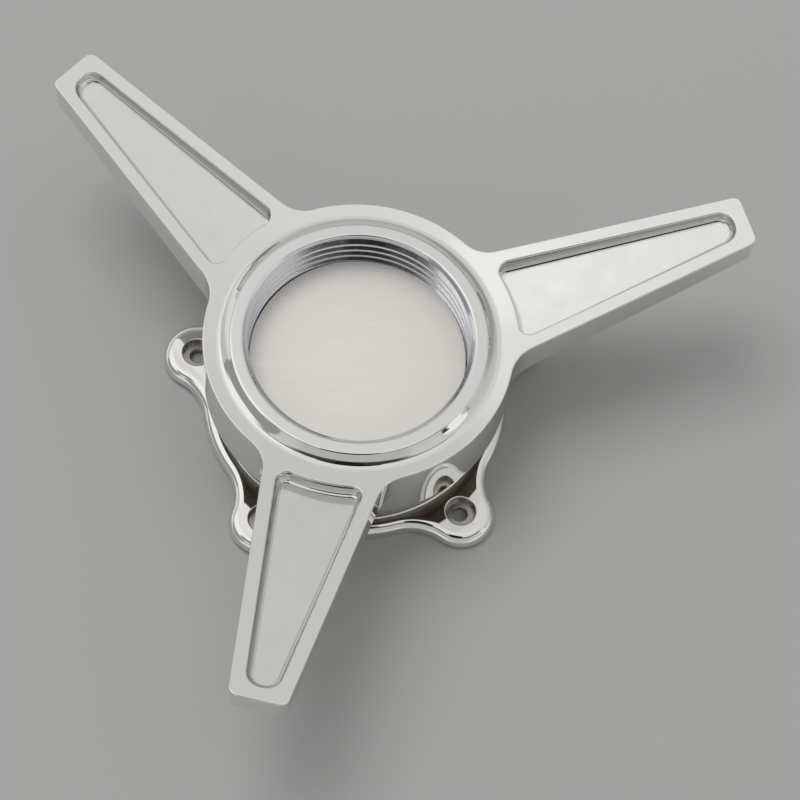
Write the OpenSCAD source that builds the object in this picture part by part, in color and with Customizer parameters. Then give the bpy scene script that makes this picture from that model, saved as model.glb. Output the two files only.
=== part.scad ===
// Two-piece screw-on spinner centre cap for a wheel.
// A bolted base stands on the wheel and carries a threaded nose with a closed end.
// A three-armed spinner screws onto the nose and seats on the shoulder below it.
// The origin is the centre of the screw circle on the base's mounting face, and +Z points away from the wheel.

/* [Base flange] */
// Thickness of the flange
flange_t = 4.8; // [4.8:0.1:8]
// Radius of the flange between its ears
waist_r = 45.4; // [44.5:0.1:48]
// Number of ears and of screws
ear_count = 5; // [4:1:6]
// Angle of the first ear from the first arm
ear_start = 4.5; // [0:0.5:72]
// Radius of the circle that the screws lie on
screw_circle_r = 48.65; // [48:0.05:52]
// Radius of each round ear
ear_r = 10.1; // [9.6:0.1:12]
// Radius of the hollow blend between an ear and the waist
blend_r = 14; // [10:0.5:18]
// Rounding of the flange's upper edge
flange_top_round = 3.1; // [1:0.1:3.1]
// Rounding of the flange's lower edge
flange_low_round = 1.6; // [0.4:0.1:1.6]

/* [Screw holes] */
// Diameter of the clearance hole for each screw
screw_hole_d = 4.5; // [4:0.1:6]
// Diameter of the counterbore for the screw's head
head_d = 8.7; // [8:0.1:10]
// Depth of the counterbore
head_depth = 2.4; // [1:0.1:3]
// Width of the small bevel round the counterbore
head_bevel = 0.35; // [0.1:0.05:0.8]

/* [Base barrel and nose] */
// Radius of the barrel that the spinner seats on
barrel_r = 40.8; // [38:0.1:43]
// Height of the barrel above the flange
barrel_h = 12.7; // [8:0.1:20]
// Height of the nose above the barrel, which is the length of thread engaged
nose_h = 11.3; // [8:0.1:16]
// Thickness of the closed end of the nose
end_t = 3.2; // [2:0.1:6]
// Thickness of the nose's wall, under its thread
nose_wall = 4.2; // [3:0.1:7]
// Thickness of the barrel's wall
barrel_wall = 4.8; // [3.5:0.1:7]
// Bevel on the edges of the barrel and of the nose
turned_bevel = 0.4; // [0.2:0.05:0.8]

/* [Thread] */
// Radius at the crests of the spinner's thread
thread_crest_r = 31.5; // [30:0.1:33]
// Distance from one thread to the next
thread_pitch = 3.175; // [2:0.005:4]
// Depth of the thread
thread_depth = 1.6; // [0.8:0.05:2]
// Radial running clearance between the nose and the thread's crests
nose_gap = 0.05; // [0.02:0.01:0.1]

/* [Spinner hub] */
// Radius of the hub's side wall
hub_r = 44.45; // [43.5:0.05:47]
// Height of the hub's side wall, from its seat to its top edge
hub_h = 22; // [19:0.1:28]
// Angle at which the dished upper face rises outwards
dish_angle = 11.84; // [8:0.01:14]
// Width of the flat land on top of the raised ring
land_w = 3.3; // [2.5:0.1:4]
// Height of that land above the hub's top edge
land_rise = 1.3; // [0.8:0.1:2]
// Width of the sloped flank between the land and the dished face
flank_w = 2.7; // [2:0.1:3.5]
// Radius of the cove that rounds the corner between them
cove_r = 4; // [1:0.1:4.4]
// Width of the bevel from the land into the bore
bore_bevel = 1.7; // [0.8:0.1:1.9]
// Bevel on the hub's lower outer edge
skirt_bevel = 0.5; // [0.2:0.1:1]

/* [Arms] */
// Number of arms
arm_count = 3; // [2:1:4]
// Distance from the axis to the end of each arm
arm_reach = 116; // [90:0.5:140]
// Width of an arm where its sides reach the hub's wall
arm_root_w = 33.4; // [26:0.1:38]
// Width of an arm at its end
arm_tip_w = 15.8; // [12:0.1:22]
// Radius of the arm's end corners
tip_corner_r = 2.7; // [1:0.1:4]
// Radius of the fillet between an arm and the hub
root_fillet_r = 10; // [6:0.5:16]
// Thickness of an arm against the hub
arm_root_t = 13.1; // [10:0.1:16]
// Thickness of an arm at its end
arm_tip_t = 8.5; // [6:0.1:12]

/* [Arm pockets] */
// Width of the border left round the sides of a pocket
pocket_border = 4.1; // [3:0.1:6]
// Width of the border between a pocket and the hub's side wall
pocket_root_border = 1.55; // [1:0.05:6]
// Width of the border left at the end of an arm
pocket_tip_border = 4.3; // [3:0.1:10]
// Depth of a pocket next to the hub
pocket_root_depth = 4.6; // [2:0.1:6]
// Depth of a pocket at its outer end
pocket_tip_depth = 3; // [1:0.1:4]
// Radius of a pocket's inner corners
pocket_root_corner_r = 3; // [1:0.1:5]
// Radius of a pocket's outer corners
pocket_tip_corner_r = 4.4; // [1:0.1:4.5]

/* [Hidden] */
$fn = 128;

// Arcs that meet tangentially cross by this much, so that they join as a crossing
bite = 0.02;
// How far a cutter reaches past the face that it cuts
past = 1;
// Flats that each curve is drawn with: the cove, half an ear, a blend, half a waist and the flange's edges
cove_steps = 8;
ear_steps = 9;
blend_steps = 6;
waist_steps = 2;
low_steps = 2;
top_steps = 4;

// Least straight stretch that the cove leaves on the flank and on the dished face
cove_rest = 0.2;
// How far an arm's root reaches into the hub's wall
root_seat = 1.25;

seat_z = flange_t + barrel_h;
nose_r = thread_crest_r - nose_gap;
nose_top_z = seat_z + nose_h;
hub_top_z = seat_z + hub_h;
land_z = hub_top_z + land_rise;
land_in_r = thread_crest_r + bore_bevel;
land_out_r = land_in_r + land_w;
// Radius of the corner between the flank and the dished face
valley_r = land_out_r + flank_w;
dish = tan(dish_angle);
ear_pitch = 360 / ear_count;
arm_pitch = 360 / arm_count;

// Height of the dished upper face at a radius
function face_z(r) = hub_top_z + dish * (r - hub_r);
// Height of the arms' underside at a radius
function under_z(r) =
    face_z(r) - arm_root_t + (arm_root_t - arm_tip_t) * (r - hub_r) / (arm_reach - hub_r);
// Height of the pockets' floor at a radius
function floor_z(r) =
    face_z(r) - pocket_root_depth
    + (pocket_root_depth - pocket_tip_depth) * (r - pocket_in_r) / (pocket_out - pocket_in_r);
// Points along an arc
function arc(centre, r, from, to, steps) =
    [for (i = [0:steps]) let (a = from + (to - from) * i / steps) centre + r * [cos(a), sin(a)]];

// Half an arm's width at a distance from the axis, and the lean of its sides
side_slope = (arm_tip_w - arm_root_w) / 2 / (arm_reach - hub_r);
side_lean = atan(-side_slope);
function half_w(u) = arm_tip_w / 2 + side_slope * (u - arm_reach);
// The same for a line that lies inside the arm's side by a distance
function inset_w(u, inset) = half_w(u) - inset / cos(side_lean);
// Point on a circle about the axis, of radius r, where that inset line crosses it
function on_circle(r, inset) =
    let (c = inset_w(0, inset), a = 1 + side_slope * side_slope, b = side_slope * c,
         u = (-b + sqrt(b * b - a * (c * c - r * r))) / a)
    [u, inset_w(u, inset)];
function mirrored(points) = [for (i = [len(points) - 1:-1:0]) [points[i].x, -points[i].y]];
side_normal = [sin(side_lean), cos(side_lean)];

pocket_in_r = hub_r + pocket_root_border;
pocket_out = arm_reach - pocket_tip_border;

// Centre of the hollow blend on one side of an ear that lies on +X, and the angles that its arcs meet at
blend_at = waist_r + blend_r;
blend_angle = acos((pow(blend_at, 2) + pow(screw_circle_r, 2) - pow(ear_r + blend_r, 2))
    / (2 * blend_at * screw_circle_r));
blend_centre = blend_at * [cos(blend_angle), sin(blend_angle)];
ear_angle = atan2(blend_centre.y, blend_centre.x - screw_circle_r);

// One side of that ear, from its tip to the middle of the waist, with its edge moved in by a distance
function lobe_side(inset) = concat(
    arc([screw_circle_r, 0], ear_r - inset, 0, ear_angle, ear_steps),
    slice(arc(blend_centre, blend_r + inset, ear_angle + 180, blend_angle + 180, blend_steps)),
    slice(arc([0, 0], waist_r - inset, blend_angle, ear_pitch / 2, waist_steps))
);
// A list without its first point
function slice(points) = [for (i = [1:len(points) - 1]) points[i]];
function turned(point, angle) =
    [point.x * cos(angle) - point.y * sin(angle), point.x * sin(angle) + point.y * cos(angle)];
// The whole flange outline at a height, with its edge moved in by a distance
function flange_ring(inset, z) =
    let (side = lobe_side(inset), n = len(side),
         lobe = concat([for (i = [n - 2:-1:1]) [side[i].x, -side[i].y]], side))
    [for (ear = [0:ear_count - 1], point = lobe)
        let (at = turned(point, ear_start + ear * ear_pitch)) [at.x, at.y, z]];

// Flange with its ears, its blends and its rounded edges, as rings of points from the bottom up
module flange() {
    rings = concat(
        [for (i = [0:low_steps]) let (a = 90 * i / low_steps)
            flange_ring(flange_low_round * (1 - sin(a)), flange_low_round * (1 - cos(a)))],
        [for (i = [0:top_steps]) let (a = 90 * i / top_steps)
            flange_ring(flange_top_round * (1 - cos(a)), flange_t - flange_top_round * (1 - sin(a)))]
    );
    n = len(rings[0]);
    top = len(rings) - 1;
    polyhedron(
        points = concat([for (ring = rings, point = ring) point], [[0, 0, 0], [0, 0, flange_t]]),
        faces = concat(
            [for (k = [0:top - 1], i = [0:n - 1], half = [0, 1])
                let (j = (i + 1) % n)
                half == 0 ? [k * n + i, k * n + n + j, k * n + j]
                          : [k * n + i, k * n + n + i, k * n + n + j]],
            [for (i = [0:n - 1]) [n * (top + 1), i, (i + 1) % n]],
            [for (i = [0:n - 1]) [n * (top + 1) + 1, top * n + (i + 1) % n, top * n + i]]
        )
    );
}

module each_ear() {
    for (i = [0:ear_count - 1]) rotate(ear_start + i * ear_pitch) children();
}

module screw_hole() {
    translate([screw_circle_r, 0, -past]) cylinder(d = screw_hole_d, h = flange_t + 2 * past);
    translate([screw_circle_r, 0, flange_t - head_depth]) cylinder(d = head_d, h = head_depth + past);
    translate([screw_circle_r, 0, flange_t - head_bevel])
        cylinder(d1 = head_d, d2 = head_d + 2 * (head_bevel + past), h = head_bevel + past);
}

// Turned barrel with its seat, and the nose with its closed end
module turned_body() {
    rotate_extrude() polygon([
        [0, flange_t / 2],
        [barrel_r, flange_t / 2],
        [barrel_r, seat_z - turned_bevel],
        [barrel_r - turned_bevel, seat_z],
        [nose_r, seat_z],
        [nose_r, nose_top_z - turned_bevel],
        [nose_r - turned_bevel, nose_top_z],
        [0, nose_top_z]
    ]);
}

// The turned hollow behind, which clears the end of the axle
module hollow() {
    wide_r = barrel_r - barrel_wall;
    narrow_r = nose_r - nose_wall;
    step_z = seat_z - nose_wall;
    rotate_extrude() polygon([
        [0, -past],
        [wide_r, -past],
        [wide_r, step_z - (wide_r - narrow_r) / 2],
        [narrow_r, step_z],
        [narrow_r, nose_top_z - end_t],
        [0, nose_top_z - end_t]
    ]);
}

module mounting_base() {
    color("silver") difference() {
        union() {
            flange();
            turned_body();
        }
        hollow();
        each_ear() screw_hole();
    }
}

// Half section of the hub: bore with its thread, land, flank, cove and dished face
module hub_section() {
    thread_top = land_z - bore_bevel;
    crest_w = thread_pitch / 8;
    flank_h = (thread_pitch - 2 * crest_w) / 2;
    turns = floor((thread_top - seat_z - thread_depth - crest_w) / thread_pitch);
    root_r = thread_crest_r + thread_depth;
    flank_angle = atan((land_z - face_z(valley_r)) / flank_w);
    half_turn = (flank_angle + dish_angle) / 2;
    reach = min(cove_r * tan(half_turn), flank_w / cos(flank_angle) - cove_rest,
        (hub_r - valley_r) / cos(dish_angle) - cove_rest);
    cove = reach / tan(half_turn);
    start = [valley_r - reach * cos(flank_angle), face_z(valley_r) + reach * sin(flank_angle)];
    centre = start + cove * [sin(flank_angle), cos(flank_angle)];
    polygon(concat(
        [[thread_crest_r + thread_depth, seat_z], [hub_r - skirt_bevel, seat_z],
         [hub_r, seat_z + skirt_bevel], [hub_r, hub_top_z]],
        arc(centre, cove, 270 + dish_angle, 270 - flank_angle, cove_steps),
        [[land_out_r, land_z], [land_in_r, land_z], [thread_crest_r, thread_top]],
        [for (i = [0:turns - 1], p = [[0, 0], [1, 1], [1, 2], [0, 3]])
            let (z = thread_top - crest_w - i * thread_pitch)
            [thread_crest_r + p[0] * thread_depth,
             z - (p[1] == 0 ? 0 : p[1] == 1 ? flank_h : p[1] == 2 ? flank_h + crest_w : 2 * flank_h + crest_w)]],
        [[thread_crest_r, seat_z + thread_depth]]
    ));
}

// Plan of one arm along +X, with round end corners and its fillets against the hub
module arm_plan() {
    corner = [arm_reach - tip_corner_r, inset_w(arm_reach - tip_corner_r, tip_corner_r)];
    fillet = on_circle(hub_r + root_fillet_r, -root_fillet_r);
    on_hub = fillet * hub_r / (hub_r + root_fillet_r);
    on_side = fillet - root_fillet_r * side_normal;
    inside = [on_hub.x - root_fillet_r / 2, 0];
    edge = [corner + tip_corner_r * side_normal, corner + [tip_corner_r, 0]];
    difference() {
        union() {
            polygon(concat([inside], [on_hub, fillet, on_side], edge,
                mirrored(edge), mirrored([on_hub, fillet, on_side])));
            for (side = [-1, 1]) translate([corner.x, side * corner.y]) circle(tip_corner_r + bite);
        }
        for (side = [-1, 1]) translate([fillet.x, side * fillet.y]) circle(root_fillet_r + bite);
    }
}

// Plan of one pocket, which follows the arm's sides and, next to the hub, the hub's wall
module pocket_plan() {
    in_corner_r = pocket_root_corner_r;
    in_corner = on_circle(pocket_in_r + in_corner_r, pocket_border + in_corner_r);
    room = inset_w(pocket_out - pocket_tip_corner_r, pocket_border) * cos(side_lean);
    out_corner_r = min(pocket_tip_corner_r, room - 0.1);
    out_corner_u = pocket_out - out_corner_r;
    out_corner = [out_corner_u, inset_w(out_corner_u, pocket_border + out_corner_r)];
    edge = [in_corner * pocket_in_r / (pocket_in_r + in_corner_r), in_corner,
            in_corner + in_corner_r * side_normal, out_corner + out_corner_r * side_normal,
            out_corner + [out_corner_r, 0]];
    difference() {
        union() {
            polygon(concat(edge, mirrored(edge)));
            for (side = [-1, 1]) {
                translate([in_corner.x, side * in_corner.y]) circle(in_corner_r + bite);
                translate([out_corner.x, side * out_corner.y]) circle(out_corner_r + bite);
            }
        }
        circle(pocket_in_r);
    }
}

// Turned blank that the arms are cut from, which starts inside the hub's wall
module arm_blank() {
    inner = hub_r - root_seat;
    rim = arm_reach + arm_tip_w / 4;
    rotate_extrude() polygon([
        [inner, face_z(inner)],
        [inner, under_z(inner)],
        [rim, under_z(rim)],
        [rim, face_z(rim)]
    ]);
}

// Room above the pockets' floor
module pocket_room() {
    rim = arm_reach + past;
    rotate_extrude() polygon([
        [hub_r, floor_z(hub_r)],
        [rim, floor_z(rim)],
        [rim, face_z(rim) + past],
        [hub_r, face_z(rim) + past]
    ]);
}

module arm() {
    top_z = face_z(arm_reach + arm_tip_w) + past;
    difference() {
        intersection() {
            arm_blank();
            linear_extrude(top_z) arm_plan();
        }
        intersection() {
            pocket_room();
            linear_extrude(top_z + past) pocket_plan();
        }
    }
}

module spinner() {
    color("gainsboro") {
        rotate_extrude() hub_section();
        for (i = [0:arm_count - 1]) rotate(i * arm_pitch) arm();
    }
}

mounting_base();
spinner();
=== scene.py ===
import math

import bmesh
import bpy
import numpy as np
from bpy.props import FloatProperty, FloatVectorProperty, IntProperty, PointerProperty
from mathutils import Matrix, Vector


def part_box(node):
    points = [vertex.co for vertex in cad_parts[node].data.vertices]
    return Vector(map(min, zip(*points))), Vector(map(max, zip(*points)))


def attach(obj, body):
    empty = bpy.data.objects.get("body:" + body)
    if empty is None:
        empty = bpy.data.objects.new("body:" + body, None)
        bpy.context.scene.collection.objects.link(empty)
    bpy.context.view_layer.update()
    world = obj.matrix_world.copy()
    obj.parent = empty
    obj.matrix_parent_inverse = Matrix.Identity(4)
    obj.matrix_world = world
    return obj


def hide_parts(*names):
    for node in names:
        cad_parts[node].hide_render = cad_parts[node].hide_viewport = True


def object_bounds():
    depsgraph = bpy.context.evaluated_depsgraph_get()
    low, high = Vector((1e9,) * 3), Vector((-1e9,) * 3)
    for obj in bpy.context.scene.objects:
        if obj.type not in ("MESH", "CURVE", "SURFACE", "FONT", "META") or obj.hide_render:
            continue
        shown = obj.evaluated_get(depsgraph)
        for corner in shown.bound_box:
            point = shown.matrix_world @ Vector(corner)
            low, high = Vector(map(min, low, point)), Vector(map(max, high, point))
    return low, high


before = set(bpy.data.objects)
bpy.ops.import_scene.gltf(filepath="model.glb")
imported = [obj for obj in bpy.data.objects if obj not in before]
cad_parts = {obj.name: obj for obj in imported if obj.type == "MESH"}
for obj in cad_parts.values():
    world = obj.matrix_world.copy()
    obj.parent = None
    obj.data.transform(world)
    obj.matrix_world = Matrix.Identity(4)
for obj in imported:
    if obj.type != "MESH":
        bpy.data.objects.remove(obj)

bl_info = {
    "name": "Spinner Centre Cap",
    "version": (1, 0, 0),
    "blender": (4, 5, 0),
    "location": "3D View > Sidebar > Centre Cap",
    "description": "Models a screw-on spinner centre cap for a wheel, its bolted base and a small studio",
    "category": "Add Mesh",
}

MM = 0.001
TURN = 2 * math.pi
# Points closer together than this are one point
WELD = 1e-6
# Edges that turn by more than this are drawn sharp
SHARP = math.radians(32)
# Steps that round an edge
EDGE_STEPS = 4
# From a rounded edge to the row of points that keeps the face beside it flat
SUPPORT = 0.15 * MM

CAD_BOX = [list(corner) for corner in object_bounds()]
SPINNER_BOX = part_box("spinner")
BASE_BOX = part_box("mounting_base")


def length(name, text, mm):
    return FloatProperty(name=name, description=text, default=mm * MM, unit="LENGTH", precision=5)


def angle(name, text, degrees):
    return FloatProperty(name=name, description=text, default=math.radians(degrees), subtype="ANGLE",
                         unit="ROTATION")


def linear(hex_colour):
    """A colour given as an sRGB hex value, in linear light"""
    channels = [int(hex_colour[i:i + 2], 16) / 255 for i in (1, 3, 5)]
    return [c / 12.92 if c <= 0.04045 else ((c + 0.055) / 1.055) ** 2.4 for c in channels]


def colour(name, text, hex_colour):
    return FloatVectorProperty(name=name, description=text, default=linear(hex_colour), subtype="COLOR",
                               min=0, max=1)


class HubSizes(bpy.types.PropertyGroup):
    """Sizes of the spinner's round hub, of its bore and of the thread that both pieces share"""
    hub_r: length("Hub radius", "Radius of the hub's side wall", 44.45)
    top_z: length("Rim height", "Height of the hub's upper outer edge", 39.5)
    dish: angle("Dish", "Angle at which the upper face rises outwards", 11.84)
    land_w: length("Land width", "Width of the flat land on top of the raised ring", 3.3)
    land_rise: length("Land rise", "Height of the land above that edge", 1.3)
    flank_w: length("Flank width", "Width of the slope between the land and the dished face", 3.4)
    bore_bevel: length("Bore bevel", "Width of the bevel from the land into the bore", 1.7)
    crest_r: length("Thread crest radius", "Radius at the crests of the internal thread", 31.5)
    thread_depth: length("Thread depth", "Depth of the thread", 1.6)
    pitch: length("Thread pitch", "Rise of the thread in one turn", 3.175)
    edge: length("Edge break", "Radius of the broken outer edges", 0.45)


class ArmSizes(bpy.types.PropertyGroup):
    """Sizes of the spinner's arms and of the pockets milled into them"""
    count: IntProperty(name="Arms", description="Number of arms", default=3, min=2, max=4)
    reach: length("Reach", "Distance from the axis to the end of an arm", SPINNER_BOX[1].x / MM)
    root_w: length("Root width", "Width of an arm where its sides reach the hub's wall", 33.4)
    tip_w: length("Tip width", "Width of an arm at its end", 15.8)
    tip_corner_r: length("Tip corner", "Radius of the arm's end corners", 2.7)
    root_fillet_r: length("Root fillet", "Radius of the fillet between an arm and the hub", 10)
    root_t: length("Root thickness", "Thickness of an arm against the hub", 13.1)
    tip_t: length("Tip thickness", "Thickness of an arm at its end", 8.5)
    border: length("Border", "Width of the border along a pocket's sides", 4.1)
    root_border: length("Root border", "Width of the border between a pocket and the hub's wall", 1.55)
    tip_border: length("Tip border", "Width of the border at an arm's end", 4.3)
    root_depth: length("Root depth", "Depth of a pocket next to the hub", 4.6)
    tip_depth: length("Tip depth", "Depth of a pocket at its outer end", 3)
    root_corner_r: length("Inner corner", "Radius of a pocket's inner corners", 3)
    end_corner_r: length("Outer corner", "Radius of a pocket's outer corners", 4.4)
    pocket_edge: length("Pocket edge", "Radius of a pocket's upper edge", 0.5)
    floor_fillet: length("Floor fillet", "Radius of the fillet round a pocket's floor", 1.6)


class BaseSizes(bpy.types.PropertyGroup):
    """Sizes of the base: its lobed flange, its barrel and its nose"""
    flange_t: length("Flange thickness", "Thickness of the flange", 4.8)
    waist_r: length("Waist radius", "Radius of the flange between its ears", 45.4)
    ears: IntProperty(name="Ears", description="Number of ears and of screw holes", default=5, min=4, max=6)
    ear_start: angle("First ear", "Angle of the first ear from the first arm", 4.5)
    screw_circle_r: length("Screw circle", "Radius of the circle that the screws lie on", 48.65)
    ear_r: length("Ear radius", "Radius of each round ear", 10.1)
    blend_r: length("Blend radius", "Radius of the hollow blend between an ear and the waist", 14)
    top_round: length("Upper rounding", "Rounding of the flange's upper edge", 3.1)
    low_round: length("Lower rounding", "Rounding of the flange's lower edge", 1.6)
    hole_d: length("Screw hole", "Diameter of each screw hole", 4.5)
    head_d: length("Counterbore", "Diameter of each counterbore", 8.7)
    head_depth: length("Counterbore depth", "Depth of each counterbore", 2.4)
    barrel_r: length("Barrel radius", "Radius of the barrel that the spinner seats on", 40.8)
    barrel_wall: length("Barrel wall", "Thickness of the barrel's wall", 4.8)
    nose_r: length("Nose radius", "Radius of the nose at the roots of its thread", 31.4)
    nose_wall: length("Nose wall", "Thickness of the nose's wall under its thread", 4.2)
    end_t: length("End thickness", "Thickness of the nose's closed end", 3.2)
    edge: length("Edge break", "Radius of the broken edges", 0.4)


class Finishes(bpy.types.PropertyGroup):
    """Colours of the metal and of the studio"""
    polished: colour("Polished metal", "Colour of the mirror-polished aluminium", "#EFEEEB")
    brushed: colour("Brushed metal", "Colour of the brushed end of the nose", "#EFEBE6")
    thread: colour("Cut thread", "Colour of the thread's grooves, as they left the tool", "#DCDEE2")
    bore: colour("Bored metal", "Colour of the counterbores, as they left the tool", "#BDB7B0")
    milled: colour("Milled metal", "Colour of the pockets' walls, only lightly polished", "#DDDCDA")
    # This dark brownish colour is painted shade of the gap under the spinner, on the barrel's wall and on the
    # seat
    barrel: colour("Turned barrel", "Colour of the barrel's unpolished wall and of the seat", "#8B8078")
    floor: colour("Floor", "Colour of the studio's pale floor", "#A9AAA8")
    grain_angle: angle("Grain angle", "Direction of the brushed grain in the plane of the end face", -22)


# Helpers that shape meshes

def deselect():
    if bpy.context.object and bpy.context.object.mode != "OBJECT":
        bpy.ops.object.mode_set(mode="OBJECT")
    bpy.ops.object.select_all(action="DESELECT")


def pick(*pieces):
    """Selects these pieces alone and makes the first one active"""
    deselect()
    for piece in pieces:
        piece.select_set(True)
    bpy.context.view_layer.objects.active = pieces[0]


def set_places(points, mesh, first):
    """Moves the mesh's vertices from the first of these numbers on to the points"""
    bm = bmesh.from_edit_mesh(mesh)
    bm.verts.ensure_lookup_table()
    for vert, place in zip(bm.verts[first:], points):
        vert.co = place
    bmesh.update_edit_mesh(mesh)


def ringed_skin(name, loops, cap_first=False, cap_last=False):
    """A skin that runs through closed loops of equally many points, each extruded from the one before"""
    deselect()
    count = len(loops[0])
    bpy.ops.mesh.primitive_circle_add(vertices=count, radius=1, fill_type="NOTHING")
    piece = bpy.context.object
    piece.name = piece.data.name = name
    bpy.ops.object.mode_set(mode="EDIT")
    set_places(loops[0], piece.data, 0)
    if cap_first:
        bpy.ops.mesh.edge_face_add()
    for number, loop in enumerate(loops[1:], 1):
        bpy.ops.mesh.extrude_edges_move()
        set_places(loop, piece.data, number * count)
    if cap_last:
        bpy.ops.mesh.edge_face_add()
    bpy.ops.object.mode_set(mode="OBJECT")
    return piece


def patch(name, rows):
    """A rectangular skin whose points lie in rows of equally many points"""
    deselect()
    rows = np.asarray(rows)
    bpy.ops.mesh.primitive_grid_add(x_subdivisions=rows.shape[1] - 1, y_subdivisions=rows.shape[0] - 1,
                                    size=1)
    piece = bpy.context.object
    piece.name = piece.data.name = name
    bpy.ops.object.mode_set(mode="EDIT")
    set_places(rows.reshape(-1, 3), piece.data, 0)
    bpy.ops.object.mode_set(mode="OBJECT")
    return piece


def joined(name, pieces):
    """The pieces as one closed solid with its normals outward"""
    pick(*pieces)
    if len(pieces) > 1:
        bpy.ops.object.join()
    piece = bpy.context.object
    piece.name = piece.data.name = name
    bpy.ops.object.mode_set(mode="EDIT")
    bpy.ops.mesh.select_all(action="SELECT")
    bpy.ops.mesh.remove_doubles(threshold=WELD)
    bpy.ops.mesh.dissolve_degenerate(threshold=WELD)
    bpy.ops.mesh.normals_make_consistent(inside=False)
    bpy.ops.object.mode_set(mode="OBJECT")
    return piece


def copies_about_axis(piece, count, pitch):
    """Copies of a piece, each with its own mesh, turned about the axis"""
    copies = [piece]
    for number in range(1, count):
        pick(piece)
        bpy.ops.object.duplicate()
        copy = bpy.context.object
        bpy.ops.object.mode_set(mode="EDIT")
        bpy.ops.mesh.select_all(action="SELECT")
        turned = Matrix.Rotation(number * pitch, 3, "Z")
        set_places([turned @ vert.co for vert in piece.data.vertices], copy.data, 0)
        bpy.ops.object.mode_set(mode="OBJECT")
        copies.append(copy)
    return copies


def smooth(piece):
    """Smooth shading that follows the broad faces and breaks at sharp edges"""
    pick(piece)
    bpy.ops.object.shade_smooth_by_angle(angle=SHARP)
    weighted = piece.modifiers.new("Weighted normals", "WEIGHTED_NORMAL")
    weighted.keep_sharp = True
    bpy.ops.object.modifier_apply(modifier=weighted.name)


# Helpers that lay out points

def rays(turns):
    """Plan directions of length 1 at these angles"""
    return np.stack([np.cos(turns), np.sin(turns)], axis=1)


def arc(centre, radius, start, end, steps, outward=1):
    """Points along an arc, and the outward direction at each"""
    spread = rays(np.linspace(start, end, steps + 1))
    return np.asarray(centre) + radius * spread, outward * spread


def line(start, end, steps, outward):
    """Points along a straight line, and the same outward direction at each"""
    share = np.linspace(0, 1, steps + 1)[:, None]
    return start + (end - start) * share, np.tile(np.asarray(outward, float), (steps + 1, 1))


def chain(*stretches):
    """Stretches of points and directions, end to end"""
    return tuple(np.concatenate([stretches[0][k]] + [s[k][1:] for s in stretches[1:]]) for k in (0, 1))


def mirrored(stretch):
    """A stretch mirrored in the X axis and run through backwards"""
    flip = np.array([1, -1])
    return stretch[0][::-1] * flip, stretch[1][::-1] * flip


def at_height(plan, height):
    return np.column_stack([plan, np.full(len(plan), height)])


def lifted(plan, height):
    """Plan points raised to a height that depends on their distance from the axis"""
    return np.column_stack([plan, height(np.hypot(plan[:, 0], plan[:, 1]))])


def lowered(points, drop):
    """Points moved down by a drop, which may differ from point to point"""
    return points - np.outer(np.broadcast_to(drop, len(points)), [0, 0, 1])


def rounded(before, corner, after, steps=EDGE_STEPS):
    """Rows that round a corner, from the row where it starts to the row where it ends"""
    rows = []
    for share in np.linspace(0, 1, steps + 1):
        # With these weights a right-angled corner gets a true arc
        a, b, c = (1 - share) ** 2, math.sqrt(2) * share * (1 - share), share ** 2
        rows.append((a * before + b * corner + c * after) / (a + b + c))
    return rows


def circle_rows(turns, profile):
    """Rows of points round the axis, one for each (radius, height) of a turned profile"""
    spread = rays(turns)
    return [at_height(radius * spread, height) for radius, height in profile]


def rounded_profile(corners, steps=EDGE_STEPS):
    """A turned profile of corners, each (radius, height) with up to two lengths: how far its rounding
    reaches back and, where it differs, ahead"""
    points = []
    spots = [np.array(corner[:2], float) for corner in corners]
    for number, (spot, corner) in enumerate(zip(spots, corners)):
        if len(corner) == 2:
            points.append(spot)
            continue
        near, far = corner[2], corner[-1]
        back = spots[number - 1] - spot
        ahead = spots[number + 1] - spot
        back /= np.linalg.norm(back)
        ahead /= np.linalg.norm(ahead)
        points.append(spot + back * (near + SUPPORT))
        points += rounded(spot + back * near, spot, spot + ahead * far, steps)
        points.append(spot + ahead * (far + SUPPORT))
    return points


# The spinner

class Columns:
    """How many columns of faces each stretch of the spinner has"""
    root = 36
    free = 36
    # Along the arc at the hub, the straight and the corner of a long side
    arm_side = (12, 24, 8)
    pocket_side = (12, 27, 18)
    pocket_end = 24
    band_rows = 5


class HubEdges:
    """Roundings and small widths of the hub that have no setting of their own"""
    # How far in and down from the land's edge the bore's bevel gives way to the thread
    bevel_cut = 0.55 * MM
    # From the land's inner radius out to the bore's lower edge
    low_bevel = 0.3 * MM
    # From the circle where the turned ring meets the arms' upper faces out to the hub's wall
    rim_w = 1.4 * MM
    land_in = 0.45 * MM
    land_out = 0.42 * MM
    # The flank bends at this share of its width, and has dropped there by this share of its width
    bend_at = 0.44
    bend_drop = 0.34
    bend = 0.7 * MM
    # The valley is rounded less up the flank than out along the dished face
    valley_back = 0.8 * MM
    valley_ahead = 1.2 * MM
    skirt = 0.2 * MM
    ring_steps = 10


# A face belongs to a pocket when it lies no further than this past its outline, and at least this far below
# its rim
POCKET_PAST = 0.1 * MM
POCKET_BROW = 0.4 * MM


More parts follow.
